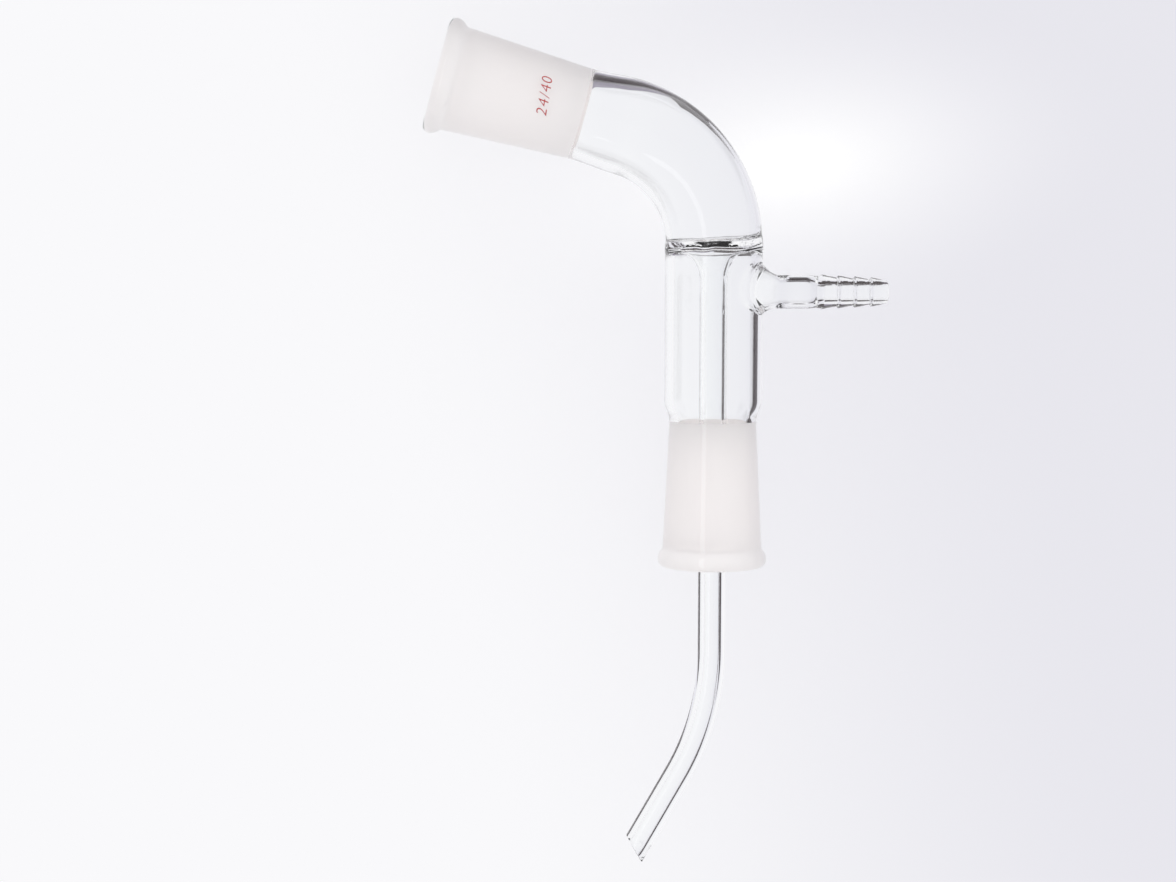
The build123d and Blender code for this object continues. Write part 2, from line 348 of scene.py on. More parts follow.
def bend_shift(points):
    return BORE_SHIFT * bell(points[:, 1], SEAL_STATION + 2.6, mouth(GROUND_LENGTH))


# %% The funnel, the bend's bore and the upper ground bore
BEND_BORE = 12.35
BORE_LUMPS = 0.03
BORE_SAG = 0.3
funnel_top = (9.0, 92.1)
funnel_rim = (BEND_BORE, SEAL_STATION + 2.1)
bore_end = (BEND_BORE, bend_end - 12)
throat = (10.3, mouth(GROUND_LENGTH + 1))

funnel = run((DRIP_BORE, FUNNEL_FOOT), funnel_top, 18, UP, (1, 0.12), 0.65)
add(funnel, lumps=fade(funnel, 0.0, WEB_LUMPS), sag=fade(funnel, 0.0, 1.0))
rim = run(funnel_top, funnel_rim, 12, (1, 0.12), UP, 1.2)
add(rim, lumps=fade(rim, WEB_LUMPS, BORE_LUMPS), sag=fade(rim, 1.0, BORE_SAG))
bore = run(funnel_rim, bore_end, 30)
add(bore, shift=bend_shift(bore), lumps=BORE_LUMPS, sag=fade(bore, BORE_SAG, 0.0))
lead = run(bore_end, throat, 24, UP, (-2 * TAPER, 1))
add(lead, shift=bend_shift(lead), lumps=BORE_LUMPS)
add(run(throat, (GROUND_END_RADIUS, mouth(GROUND_LENGTH)), 4))
upper_bore_rim = (BORE_RIM[0], mouth(BORE_RIM[1]))
add(run((GROUND_END_RADIUS, mouth(GROUND_LENGTH)), upper_bore_rim, 14), ground=1.0)
add(run(upper_bore_rim, upper_lip, 4, UP, OUT))
section.append(section[0])
section_of_body = section
print("points on the section:", len(section_of_body))

# %% [markdown]
# ## Nodes that read like a sum
# Geometry Nodes fit a rule such as turning and bending well, because its sizes stay open to
# change. A tree built in a script is easier to follow when each node takes one line, so small
# helpers add a node, link what it is given and hand back its output. A tree of this kind has
# named inputs for its sizes.


# %% Helpers for every node tree
def node(tree, kind, inputs=None, out=0, **settings):
    """Adds a node, links or sets its inputs, and returns one of its outputs."""
    new = tree.nodes.new(kind)
    for name, value in settings.items():
        setattr(new, name, value)
    for key, value in (inputs or {}).items():
        if isinstance(value, bpy.types.NodeSocket):
            tree.links.new(value, new.inputs[key])
        else:
            new.inputs[key].default_value = value
    return new.outputs[out]


def calc(tree, operation, first, second=0.0):
    """One step of arithmetic."""
    return node(tree, "ShaderNodeMath", {0: first, 1: second}, operation=operation)


def spread(tree, value, measured, wanted):
    """Maps a value from its measured range, low and high, to the wanted one."""
    (low, high), (new_low, new_high) = measured, wanted
    ranges = {"From Min": low, "From Max": high, "To Min": new_low, "To Max": new_high}
    return node(tree, "ShaderNodeMapRange", {"Value": value, **ranges})


# %% Helpers for Geometry Nodes
def new_tree(name, sizes):
    """A Geometry Nodes tree with a geometry in and out, and one named input for each size."""
    tree = bpy.data.node_groups.new(name, "GeometryNodeTree")
    tree.interface.new_socket("Geometry", in_out="INPUT", socket_type="NodeSocketGeometry")
    for size, kind in sizes.items():
        tree.interface.new_socket(size, in_out="INPUT", socket_type="NodeSocket" + kind)
    tree.interface.new_socket("Geometry", in_out="OUTPUT", socket_type="NodeSocketGeometry")
    return tree, tree.nodes.new("NodeGroupInput").outputs


def is_over(tree, value, limit):
    """1 where a value is over its limit, and otherwise 0."""
    return node(
        tree, "FunctionNodeCompare", {0: value, 1: limit}, data_type="FLOAT", operation="GREATER_THAN"
    )


def drawn_curve(tree, value, points):
    """A Float Curve through points, of which the first and the last lie at 0 and at 1."""
    height = node(tree, "ShaderNodeFloatCurve", {"Value": value})
    curve = height.node.mapping.curves[0]
    curve.points[0].location = points[0]
    curve.points[1].location = points[-1]
    for point in points[1:-1]:
        curve.points.new(*point)
    height.node.mapping.update()
    return height


# %% [markdown]
# ## The lathe
# The lathe takes the section as a row of points. It lays out a grid with one row for each of
# them and one column for each step round the axis, reads the radius and the station of its row,
# and turns them by its column. Points that fall together are merged, which closes the seam.


# %% Turning a section round its axis
def lathe(tree, sizes):
    """Grid, row, angle, radius and station of a section that is turned round its axis."""
    size = node(tree, "GeometryNodeAttributeDomainSize", {0: sizes["Geometry"]})
    columns = calc(tree, "ADD", sizes["Segments"], 1)
    grid = node(tree, "GeometryNodeMeshGrid", {"Vertices X": columns, "Vertices Y": size})
    index = node(tree, "GeometryNodeInputIndex")
    row = calc(tree, "MODULO", index, size)
    column = calc(tree, "FLOOR", calc(tree, "DIVIDE", calc(tree, "ADD", index, 0.5), size))
    angle = calc(tree, "MULTIPLY", calc(tree, "DIVIDE", column, sizes["Segments"]), 2 * pi)
    place = node(tree, "GeometryNodeInputPosition")
    point = node(
        tree, "GeometryNodeSampleIndex",
        {"Geometry": sizes["Geometry"], "Value": place, "Index": row}, data_type="FLOAT_VECTOR",
    )
    radius = node(tree, "ShaderNodeSeparateXYZ", {0: point})
    return grid, row, angle, radius, radius.node.outputs[1]


def sampled(tree, sizes, row, name):
    """One of the wall's values, as the section has it at this row."""
    value = node(tree, "GeometryNodeInputNamedAttribute", {"Name": name}, data_type="FLOAT")
    return node(
        tree, "GeometryNodeSampleIndex",
        {"Geometry": sizes["Geometry"], "Value": value, "Index": row}, data_type="FLOAT",
    )


def glass_skin(tree, shaped, material):
    """Closes the seam, smooths the skin and gives it its glass."""
    shaped = node(tree, "GeometryNodeMergeByDistance", {"Geometry": shaped, "Distance": 1e-6})
    shaped = node(tree, "GeometryNodeSetShadeSmooth", {"Geometry": shaped})
    shaped = node(tree, "GeometryNodeRealizeInstances", {"Geometry": shaped})
    return node(tree, "GeometryNodeSetMaterial", {"Geometry": shaped, "Material": material})


# %% [markdown]
# ## Two bends
# Bending comes after turning, as it does at the flame. A point below the bend stays where it
# is. A point inside the bend is moved back to where the bend starts, and then swung round its
# centre by the angle that it had reached. A point past the bend is swung by the whole angle and
# keeps the rest of its way. One Vector Rotate node does each swing.


# %% Bending a stretch of the tube
def bend(tree, point, start, radius, angle, sign):
    """Swings what lies past start, up the axis for sign 1 and down it for sign -1."""
    across, along, depth = point
    past = calc(tree, "MULTIPLY", calc(tree, "SUBTRACT", along, start), sign)
    past = calc(tree, "MAXIMUM", past, 0.0)
    arc = calc(tree, "MULTIPLY", radius, angle)
    turned = calc(tree, "DIVIDE", calc(tree, "MINIMUM", past, arc), radius)
    over = calc(tree, "MAXIMUM", calc(tree, "SUBTRACT", past, arc), 0.0)
    used = calc(tree, "MULTIPLY", calc(tree, "SUBTRACT", past, over), sign)
    kept = calc(tree, "SUBTRACT", along, used)
    moved = node(tree, "ShaderNodeCombineXYZ", {0: across, 1: kept, 2: depth})
    centre = node(tree, "ShaderNodeCombineXYZ", {0: calc(tree, "MULTIPLY", radius, -1.0), 1: start})
    return node(
        tree, "ShaderNodeVectorRotate",
        {"Vector": moved, "Center": centre, "Angle": calc(tree, "MULTIPLY", turned, sign)},
        rotation_type="Z_AXIS",
    )


# %% The body's tree, and its lathe
body_sizes = {
    "Segments": "Int", "Seal sag": "Float",
    "Bend start": "Float", "Bend radius": "Float", "Bend angle": "Float",
    "Drip bend start": "Float", "Drip bend radius": "Float", "Drip bend angle": "Float",
    "Cut slope": "Float", "Cut start": "Float", "Cut end": "Float",
    "Clear glass": "Material", "Ground glass": "Material",
}
body_tree, sizes = new_tree("turned_and_bent_body", body_sizes)
tree = body_tree
grid, row, angle, radius, station = lathe(tree, sizes)
across = calc(tree, "COSINE", angle)
depth = calc(tree, "SINE", angle)

# %% [markdown]
# ## Lumps and a shifted bore
# A noise that runs round the tube and along it swells and sinks the wall, by as much as the
# section's lumps allow. The bore's shift is the same for a whole row, to the outside of the bend.

# %% Lumps and shift
LUMPS_PER_METRE = 120.0
LUMPS_AROUND = 1.7

noise_place = node(
    tree, "ShaderNodeCombineXYZ",
    {0: across, 1: depth, 2: calc(tree, "MULTIPLY", station, LUMPS_PER_METRE)},
)
noise = node(
    tree, "ShaderNodeTexNoise",
    {"Vector": noise_place, "Scale": LUMPS_AROUND, "Detail": 1.0}, noise_dimensions="3D",
)
lump = calc(tree, "MULTIPLY", calc(tree, "SUBTRACT", noise, 0.5), 2.0)
lump = calc(tree, "MULTIPLY", lump, sampled(tree, sizes, row, "lumps"))
radius = calc(tree, "ADD", radius, lump)
across = calc(tree, "MULTIPLY", across, radius)
across = calc(tree, "ADD", across, sampled(tree, sizes, row, "shift"))
depth = calc(tree, "MULTIPLY", depth, radius)

# %% [markdown]
# ## The slanted cut and the sagging seal
# The drip tip is cut at a slant, so that drops run to its point. The last stretch of the tube
# slides along itself for that, more on one side than on the other. The seal's uneven height is
# drawn as a curve round the axis, from the right side over the front and the left. A height of
# 0.5 is level. The seal is level at the front, a little low at the left and high at the right.

# %% Slant and sag
SEAL_SAG = (
    (0, 0.85), (30, 0.7), (55, 0.55), (78, 0.5), (97, 0.5), (112, 0.4), (127, 0.47), (160, 0.45),
    (180, 0.42), (220, 0.6), (260, 0.4), (300, 0.6), (360, 0.85),
)

weight = spread(tree, station, (sizes["Cut start"], sizes["Cut end"]), (0.0, 1.0))
slide = calc(tree, "MULTIPLY", calc(tree, "MULTIPLY", across, sizes["Cut slope"]), weight)
along = calc(tree, "SUBTRACT", station, slide)
turn = calc(tree, "DIVIDE", angle, 2 * pi)
sag = drawn_curve(tree, turn, [(degrees / 360, height) for degrees, height in SEAL_SAG])
sag = calc(tree, "MULTIPLY", calc(tree, "SUBTRACT", sag, 0.5), sizes["Seal sag"])
sag = calc(tree, "MULTIPLY", sag, sampled(tree, sizes, row, "sag"))
along = calc(tree, "ADD", along, sag)

# %% The bends, and the two kinds of glass
point = (across, along, depth)
upper = bend(tree, point, sizes["Bend start"], sizes["Bend radius"], sizes["Bend angle"], 1.0)
lower = bend(
    tree, point, sizes["Drip bend start"], sizes["Drip bend radius"], sizes["Drip bend angle"], -1.0
)
place = node(
    tree, "GeometryNodeSwitch", {0: is_over(tree, along, 0.0), 1: lower, 2: upper}, input_type="VECTOR"
)
shaped = node(tree, "GeometryNodeSetPosition", {"Geometry": grid, "Position": place})
ground = {"Name": "ground", "Value": sampled(tree, sizes, row, "ground")}
shaped = node(
    tree, "GeometryNodeStoreNamedAttribute", {"Geometry": shaped, **ground},
    data_type="FLOAT", domain="POINT",
)
shaped = glass_skin(tree, shaped, sizes["Clear glass"])
is_ground = node(tree, "GeometryNodeInputNamedAttribute", {"Name": "ground"}, data_type="FLOAT")
shaped = node(
    tree, "GeometryNodeSetMaterial",
    {"Geometry": shaped, "Selection": is_over(tree, is_ground, 0.4), "Material": sizes["Ground glass"]},
)
tree.links.new(shaped, tree.nodes.new("NodeGroupOutput").inputs[0])
print("nodes in the body's tree:", len(tree.nodes))

# %% [markdown]
# ## The hose arm
# The arm is turned in the same way, from a stem, a collar and a tip. Its four barbs repeat, each
# a little smaller than the one before, so the tree makes them: it finds how many pitches a
# station is past the first crest, and a curve gives the fall and the short rise to the next.

# %% Section of the arm, out along its skin and back down its bore
ARM_RADIUS = 4.75
ARM_BORE = 3.35
HOSE_BORE = 2.35
TIP_RADIUS = 3.3
ARM_TIP_ROUND = 0.35
SKIN_START = 18.6
BORE_START = 22.0
BARBS_START = 31.0
BARB_PITCH = 4.7
BARB_COUNT = 4
ROWS_PER_BARB = 22
arm_end = BARBS_START + BARB_PITCH * BARB_COUNT
round_start = arm_end - ARM_TIP_ROUND
stem_end, collar = (ARM_RADIUS, 27.4), (4.55, 29.2)
wide_bore_end, hose_bore_start = (ARM_BORE, 26.2), (HOSE_BORE, 31.6)

section = []
add(run((ARM_RADIUS, SKIN_START), stem_end, 8))
add(run(stem_end, collar, 8, UP, UP))
add(run(collar, (4.98, BARBS_START), 8, UP, (0.35, 1)))
add(run((4.9, BARBS_START), (4.9, round_start), ROWS_PER_BARB * BARB_COUNT), barbed=1.0)
add(run((TIP_RADIUS, round_start), (TIP_RADIUS - 0.4, arm_end), 5, UP, IN))
add(run((TIP_RADIUS - 0.4, arm_end), (HOSE_BORE, round_start), 5, IN, DOWN))
add(run((HOSE_BORE, round_start), hose_bore_start, 10))
add(run(hose_bore_start, wide_bore_end, 14, DOWN, DOWN))
add(run(wide_bore_end, (ARM_BORE, BORE_START), 4))
add([(ARM_BORE, BORE_START)])
section_of_arm = section
print("points on the arm's section:", len(section_of_arm))

# %% The tree of the arm
BARB_FALL = (
    (0.0, 0.0), (0.05, 0.03), (0.12, 0.13), (0.5, 0.56), (0.8, 0.93), (0.87, 0.99), (0.91, 0.93),
    (0.96, 0.48), (1.0, 0.31),
)
arm_sizes = {
    "Segments": "Int", "Height": "Float",
    "First crest": "Float", "Pitch": "Float", "Crest radius": "Float", "Step": "Float", "Depth": "Float",
    "Clear glass": "Material",
}
arm_tree, sizes = new_tree("serrated_hose_arm", arm_sizes)
tree = arm_tree
grid, row, angle, radius, station = lathe(tree, sizes)
pitches = calc(tree, "DIVIDE", calc(tree, "SUBTRACT", station, sizes["First crest"]), sizes["Pitch"])
number = calc(tree, "FLOOR", pitches)
fall = drawn_curve(tree, calc(tree, "FRACT", pitches), BARB_FALL)
crest = calc(tree, "SUBTRACT", sizes["Crest radius"], calc(tree, "MULTIPLY", number, sizes["Step"]))
barb = calc(tree, "SUBTRACT", crest, calc(tree, "MULTIPLY", fall, sizes["Depth"]))
is_barb = is_over(tree, sampled(tree, sizes, row, "barbed"), 0.5)
radius = node(tree, "GeometryNodeSwitch", {0: is_barb, 1: radius, 2: barb}, input_type="FLOAT")
side = calc(tree, "ADD", calc(tree, "MULTIPLY", calc(tree, "SINE", angle), radius), sizes["Height"])
lift = calc(tree, "MULTIPLY", calc(tree, "COSINE", angle), radius)
place = node(tree, "ShaderNodeCombineXYZ", {0: station, 1: side, 2: lift})
shaped = node(tree, "GeometryNodeSetPosition", {"Geometry": grid, "Position": place})
shaped = glass_skin(tree, shaped, sizes["Clear glass"])
tree.links.new(shaped, tree.nodes.new("NodeGroupOutput").inputs[0])
print("nodes in the arm's tree:", len(tree.nodes))

# %% [markdown]
# ## Clear glass
# Borosilicate bends light by 1.47 and has almost no colour. What makes a tube look drawn by
# hand is that its skin isn't perfect: long, shallow waves from drawing the tube, and a trace of
# haze. Both follow the object's own coordinates, and both are so weak that they only show where
# a reflection crosses them.


# %% A material and its shader
def new_material(name, **settings):
    """A material with one Principled shader, and that shader's sockets set by name."""
    material = bpy.data.materials.new(name)
    material.use_nodes = True
    shader = material.node_tree.nodes["Principled BSDF"]
    for socket, value in settings.items():
        shader.inputs[socket.replace("_", " ")].default_value = value
    return material, material.node_tree, shader.inputs


def object_noise(tree, stretch, detail):
    """A noise on the object's own coordinates, with a number of waves per metre for each axis."""
    place = node(tree, "ShaderNodeTexCoord", out="Object")
    place = node(tree, "ShaderNodeMapping", {"Vector": place, "Scale": stretch})
    return node(tree, "ShaderNodeTexNoise", {"Vector": place, "Scale": 1.0, "Detail": detail})


def rough_skin(tree, shader, height, strength, distance):
    """Lets a height ripple the skin, without a change to its shape."""
    bump = node(tree, "ShaderNodeBump", {"Strength": strength, "Distance": distance, "Height": height})
    tree.links.new(bump, shader["Normal"])


# %% Clear borosilicate
clear_glass, tree, shader = new_material(
    "clear_borosilicate", Base_Color=(0.985, 0.99, 0.99, 1), Transmission_Weight=1.0, IOR=1.47,
)
drawing_waves = object_noise(tree, (260, 45, 260), 1.5)
rough_skin(tree, shader, drawing_waves, 0.02, 0.0003)
haze = object_noise(tree, (90, 90, 90), 3.0)
tree.links.new(spread(tree, haze, (0.4, 0.8), (0.0, 0.012)), shader["Roughness"])
print("clear glass, index of refraction", shader["IOR"].default_value)

# %% [markdown]
# ## Ground glass
# The sockets are ground inside with fine grit, so that a joint seals. Each scratch sends light
# another way, and the skin turns to a warm, milky white. A rough transparent shader could make
# it, but in light that comes from all round it shows the room's dark parts as grey streaks. So
# the ground skin is plain matt white, seen through the clear outer wall, which keeps its glassy
# edge. Grinding goes round and round, which leaves a faint grain across the axis.

# %% Ground borosilicate
GROUND_ROUGHNESS = 0.5
ground_glass, tree, shader = new_material(
    "ground_borosilicate", Base_Color=(0.975, 0.948, 0.94, 1), IOR=1.47, Roughness=GROUND_ROUGHNESS,
    Specular_IOR_Level=0.0,
)
rough_skin(tree, shader, object_noise(tree, (1500, 3800, 1500), 2.0), 0.05, 0.00005)
cloud = spread(
    tree, object_noise(tree, (120, 60, 120), 3.0), (0.3, 0.7),
    (GROUND_ROUGHNESS - 0.04, GROUND_ROUGHNESS + 0.04),
)
tree.links.new(cloud, shader["Roughness"])
print("ground glass, roughness about", GROUND_ROUGHNESS)

# %% [markdown]
# ## From trees to meshes
# A section becomes the base mesh of an object, its wall values become attributes, and a Nodes
# modifier carries the tree and its sizes. The result is then taken as a plain mesh.


# %% Running a tree on a section
def turned_mesh(name, rows, tree, values):
    """The mesh that a tree makes from a section, with the tree's sizes set by name."""
    base = bpy.data.meshes.new(name)
    base.from_pydata([(radius * MM, station * MM, 0) for radius, station, *_ in rows], [], [])
    for column, wall_value in enumerate(WALL_VALUES, 2):
        layer = base.attributes.new(wall_value, "FLOAT", "POINT")
        scale = MM if wall_value in ("shift", "lumps") else 1.0
        layer.data.foreach_set("value", [line[column] * scale for line in rows])
    carrier = bpy.data.objects.new(name, base)
    bpy.context.collection.objects.link(carrier)
    modifier = carrier.modifiers.new("shape", "NODES")
    modifier.node_group = tree
    for item in tree.interface.items_tree:
        if item.in_out == "INPUT" and item.name in values:
            modifier[item.identifier] = values[item.name]
    view = bpy.context.evaluated_depsgraph_get()
    mesh = bpy.data.meshes.new_from_object(carrier.evaluated_get(view))
    bpy.data.objects.remove(carrier)
    return mesh


# %% The body as a mesh
BODY_SEGMENTS = 144
CUT_SLOPE = 0.577
CUT_FADE = 16.0
CUT_FULL = 1.0
SEAL_SAG_HEIGHT = 3.0
body = turned_mesh("body_blank", section_of_body, body_tree, {
    "Segments": BODY_SEGMENTS, "Seal sag": SEAL_SAG_HEIGHT * MM,
    "Bend start": SEAL_STATION * MM, "Bend radius": BEND_RADIUS * MM, "Bend angle": BEND_ANGLE,
    "Drip bend start": -DRIP_DROP * MM, "Drip bend radius": DRIP_BEND_RADIUS * MM,
    "Drip bend angle": DRIP_BEND_ANGLE,
    "Cut slope": CUT_SLOPE, "Cut start": (drip_end + CUT_FADE) * MM, "Cut end": (drip_end + CUT_FULL) * MM,
    "Clear glass": clear_glass, "Ground glass": ground_glass,
})
print("faces of the body:", len(body.polygons))

# %% The arm as a mesh
ARM_HEIGHT = 78.5
WINDOW_COLUMNS = 36
ARM_SEGMENTS = 2 * (WINDOW_ROWS + WINDOW_COLUMNS)
FIRST_CREST_RADIUS = 4.95
CREST_STEP = 0.25
BARB_DEPTH = 0.82
arm = turned_mesh("arm_blank", section_of_arm, arm_tree, {
    "Segments": ARM_SEGMENTS, "Height": ARM_HEIGHT * MM,
    "First crest": BARBS_START * MM, "Pitch": BARB_PITCH * MM,
    "Crest radius": FIRST_CREST_RADIUS * MM, "Step": CREST_STEP * MM, "Depth": BARB_DEPTH * MM,
    "Clear glass": clear_glass,
})
print("faces of the arm:", len(arm.polygons))

# %% [markdown]
# ## Welding the arm on
# At the bench a hole is blown in the jacket and the arm is melted on, which leaves a flared,
# rounded root: long and wide above, where the jacket was hottest, and short below. The same is
# done here. A window is cut in both walls of the jacket, and rings of points lead from its edge
# to the hole, still on the jacket's curve, and from the hole out along the arm.


# %% Cutting a window in one wall of the jacket
SLACK = 0.01
SLACK_ANGLE = 0.001


def window_edge(shell, radius, heights):
    """Removes the faces of a wall round the arm's root, and returns the window's edge in order."""
    half_turn = WINDOW_COLUMNS / BODY_SEGMENTS * pi + SLACK_ANGLE
    low, high = heights[0] - SLACK, heights[1] + SLACK

    def inside(vertex):
        x, y, z = vertex.co / MM
        on_this_wall = abs((x * x + z * z) ** 0.5 - radius) < 2 * SLACK
        return on_this_wall and low < y < high and abs(np.arctan2(z, x)) < half_turn

    marked = {vertex for vertex in shell.verts if inside(vertex)}
    faces = {face for face in shell.faces if all(vertex in marked for vertex in face.verts)}
    edges = {edge for face in faces for edge in face.edges}
    rim = {vertex for edge in edges if not faces.issuperset(edge.link_faces) for vertex in edge.verts}
    bmesh.ops.delete(shell, geom=list(faces), context="FACES")
    return sorted(rim, key=lambda vertex: np.arctan2(vertex.co.y / MM - ARM_HEIGHT, vertex.co.z / MM))


# %% Joining rings of points
def bridge(shell, first, points):
    """Quads from a ring to a new one of equal length, which is turned to where it fits best."""
    second = [shell.verts.new(Vector(point) * MM) for point in points]
    count = len(first)
    places = np.array([vertex.co[:] for vertex in second])
    start = np.array([vertex.co[:] for vertex in first])
    offset = min(range(count), key=lambda k: float(np.sum((np.roll(places, -k, 0) - start) ** 2)))
    second = second[offset:] + second[:offset]
    for index in range(count):
        after = (index + 1) % count
        face = shell.faces.new((first[index], first[after], second[after], second[index]))
        face.smooth = True
    return second


# %% The hole in the jacket
def hole_point(angle, hole):
    """Where the hole's edge lies at an angle: distance round the jacket, and height."""
    wide, above, below = hole
    tall = above if sin(angle) > 0 else below
    return wide * cos(angle), ARM_HEIGHT + tall * sin(angle)


def on_wall(radius, around, height):
    return Vector((radius * cos(around / radius), height, radius * sin(around / radius)))


# %% [markdown]
# ## The flare of the root
# Each of the root's rings is a step on a smooth way. It leaves the hole's edge along the
# jacket's skin, towards the arm's axis, and arrives along the arm. How far it follows the skin,
# more above than below, makes the flare wide or tight.

# %% The way from the window to the hole, and from the hole to the arm
WALL_RINGS = 7
ROOT_RINGS = 14


def root_point(angle, radius, hole, end, reach, t):
    """A point at share t of the way from the hole's edge to the arm."""
    around, height = hole_point(angle, hole)
    swing = around / radius
    along_skin = Vector((0, ARM_HEIGHT - height, 0)) + Vector((sin(swing), 0, -cos(swing))) * around
    above, below, outwards = reach
    pull = above if sin(angle) > 0 else above + (below - above) * -sin(angle)
    arm_radius, x = end
    goal = Vector((x, ARM_HEIGHT + arm_radius * sin(angle), arm_radius * cos(angle)))
    leave, arrive = along_skin.normalized() * pull, Vector((outwards, 0, 0))
    return smooth_way(on_wall(radius, around, height), goal, leave, arrive, t)


def root(shell, rim, radius, hole, end, reach):
    """Rings from a window's edge to the arm. hole is (wide, above, below), end is (radius, x)."""
    count = len(rim)
    angles = [2 * pi * index / count - pi for index in range(count)]
    edge = [(radius * np.arctan2(vertex.co.z, vertex.co.x), vertex.co.y / MM) for vertex in rim]
    last = rim
    for step in range(1, WALL_RINGS + 1):
        part = step / WALL_RINGS
        points = []
        for (around, height), angle in zip(edge, angles):
            hole_around, hole_height = hole_point(angle, hole)
            around, height = around + (hole_around - around) * part, height + (hole_height - height) * part
            points.append(on_wall(radius, around, height))
        last = bridge(shell, last, points)
    for step in range(1, ROOT_RINGS + 1):
        t = step / ROOT_RINGS
        last = bridge(shell, last, [root_point(angle, radius, hole, end, reach, t) for angle in angles])


# %% Cutting and welding
SKIN_HOLE, SKIN_REACH = (10.2, 8.6, 6.6), (3.6, 2.4, 5.6)
BORE_HOLE, BORE_REACH = (8.8, 8.3, 5.8), (4.0, 2.5, 9.0)
shell = bmesh.new()
shell.from_mesh(body)
body_slots = list(body.materials)
bpy.data.meshes.remove(body)
outer_rim = window_edge(shell, JACKET_RADIUS, OUTER_WINDOW)
inner_rim = window_edge(shell, JACKET_BORE, INNER_WINDOW)
print("points on the windows' edges:", len(outer_rim), len(inner_rim))
root(shell, outer_rim, JACKET_RADIUS, SKIN_HOLE, (ARM_RADIUS, SKIN_START), SKIN_REACH)
root(shell, inner_rim, JACKET_BORE, BORE_HOLE, (ARM_BORE, BORE_START), BORE_REACH)
shell.from_mesh(arm)
bpy.data.meshes.remove(arm)
bmesh.ops.remove_doubles(shell, verts=shell.verts, dist=2e-6)
bmesh.ops.recalc_face_normals(shell, faces=shell.faces)
for face in shell.faces:
    face.material_index = int(body_slots[face.material_index] is ground_glass)
open_edges = [edge for edge in shell.edges if len(edge.link_faces) != 2]
print("open edges:", len(open_edges), "volume:", round(shell.calc_volume(signed=True) * 1e6, 2), "cm3")


# %% The finished glass
def linked_object(name, mesh, *materials):
    """An object at the origin, with a mesh and its materials."""
    for material in materials:
        mesh.materials.append(material)
    piece = bpy.data.objects.new(name, mesh)
    bpy.context.collection.objects.link(piece)
    return piece


glass_mesh = bpy.data.meshes.new("blown_glass")
shell.to_mesh(glass_mesh)
shell.free()
glass = linked_object("blown_glass", glass_mesh, clear_glass, ground_glass)
print("triangles:", sum(len(face.vertices) - 2 for face in glass_mesh.polygons))

# %% [markdown]
# ## The size mark
# Joint makers fire a small red mark on the outer wall of a ground joint, which gives its size:
# 24/40 is 24 mm across the wide end and 40 mm long. The numerals are laid out flat as text, cut
# into narrow strips so that they can bend, and then rolled onto the wall.


# %% A place beside the straight tube, after the tube is bent
def bent(across, station):
    """x and y in millimetres. across counts to the right of the axis, station up along it."""
    if station > SEAL_STATION:
        start, radius, most, sign = SEAL_STATION, BEND_RADIUS, BEND_ANGLE, 1
    else:
        start, radius, most, sign = -DRIP_DROP, DRIP_BEND_RADIUS, DRIP_BEND_ANGLE, -1
    past = max(sign * (station - start), 0.0)
    angle = min(past / radius, most)
    over = sign * (past - angle * radius)
    kept = station if past == 0 else start + over
    centre = Vector((-radius, start))
    return centre + Matrix.Rotation(angle * sign, 2) @ (Vector((across, kept)) - centre)


# %% Flat numerals, cut into strips
STRIP_COUNT = 47
text = bpy.data.curves.new("size_numerals", "FONT")
text.body = "24/40"
text.extrude = 0.01
text.space_character = 1.14
text.offset = -0.012
carrier = bpy.data.objects.new("size_numerals", text)
bpy.context.collection.objects.link(carrier)
flat = bpy.data.meshes.new_from_object(carrier.evaluated_get(bpy.context.evaluated_depsgraph_get()))
bpy.data.objects.remove(carrier)
letters = bmesh.new()
letters.from_mesh(flat)
bmesh.ops.remove_doubles(letters, verts=letters.verts, dist=1e-5)
low = min(vertex.co.x for vertex in letters.verts)
high = max(vertex.co.x for vertex in letters.verts)
tall = max(vertex.co.y for vertex in letters.verts)
for cut in np.linspace(low, high, STRIP_COUNT + 1)[1:-1]:
    everything = letters.verts[:] + letters.edges[:] + letters.faces[:]
    bmesh.ops.bisect_plane(letters, geom=everything, plane_co=(cut, 0, 0), plane_no=(1, 0, 0), dist=1e-6)
print("flat numerals:", len(letters.faces), "faces")

# %% Rolling the numerals onto the wall
MARK_LENGTH = 10.8
MARK_DISTANCE = 30.35
MARK_AROUND = 1.3
MARK_TILT = -0.085
MARK_LIFT = 0.012
MARK_THICKNESS = 0.03
scale = MARK_LENGTH / (high - low)
for vertex in letters.verts:
    x, y, z = vertex.co
    x, y = (x - (low + high) / 2) * scale, (y - tall / 2) * scale
    around, distance = x - y * MARK_TILT, MARK_DISTANCE - y + x * MARK_TILT
    part = (distance - BEAD_LENGTH) / (GROUND_LENGTH - BEAD_LENGTH)
    wall = UPPER_GROOVE - part * (UPPER_GROOVE - UPPER_BLANK_END)
    angle = (around + MARK_AROUND) / wall
    wall += MARK_LIFT + MARK_THICKNESS * (z / text.extrude + 1) / 2
    vertex.co = Vector((*bent(wall * sin(angle), mouth(distance)), wall * cos(angle))) * MM
bmesh.ops.recalc_face_normals(letters, faces=letters.faces)
numerals_mesh = bpy.data.meshes.new("size_numerals")
letters.to_mesh(numerals_mesh)
letters.free()


# %% Red enamel, as it is fired on
def mixed(tree, share, first, second):
    """A colour between two others."""
    return node(tree, "ShaderNodeMix", {0: share, "A": first, "B": second}, data_type="RGBA", out=2)


